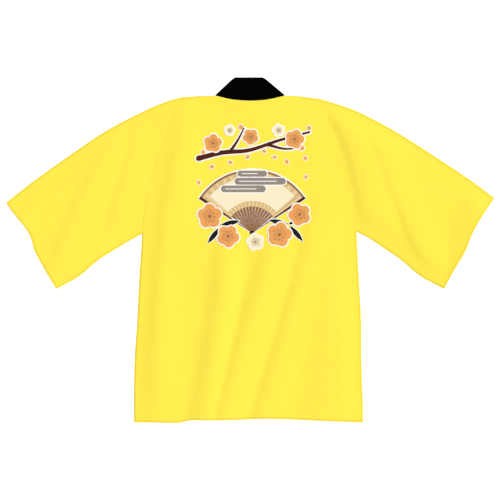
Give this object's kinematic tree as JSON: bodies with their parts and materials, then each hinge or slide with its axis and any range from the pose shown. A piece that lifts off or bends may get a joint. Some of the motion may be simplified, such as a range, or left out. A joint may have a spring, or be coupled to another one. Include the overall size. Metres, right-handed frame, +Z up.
{
  "type": "happi coat",
  "caption": "Short straight open-fronted Japanese festival coat with wide short sleeves and a contrasting collar band, laid flat with its back up.",
  "frame": {"origin": "centre of the coat's outline on the surface that it lies on", "axes": "+X towards the wearer's right sleeve, +Y from the hem towards the collar, +Z up from the surface, the back of the coat facing up"},
  "size_m": [1.2204, 0.8641, 0.0063],
  "materials": {
    "yellow_cloth": "plain-woven bright yellow cloth with a soft matt surface",
    "black_cloth": "plain-woven black cloth, folded double, matt",
    "print_ink": "flat printed ink in tan, orange, brown, grey and white, taking the weave of the cloth"
  },
  "bodies": {
    "root": {"back": "yellow_cloth", "front_left": "yellow_cloth", "front_right": "yellow_cloth", "sleeve_left": "yellow_cloth", "sleeve_right": "yellow_cloth", "collar": "black_cloth"}
  },
  "joints": []
}
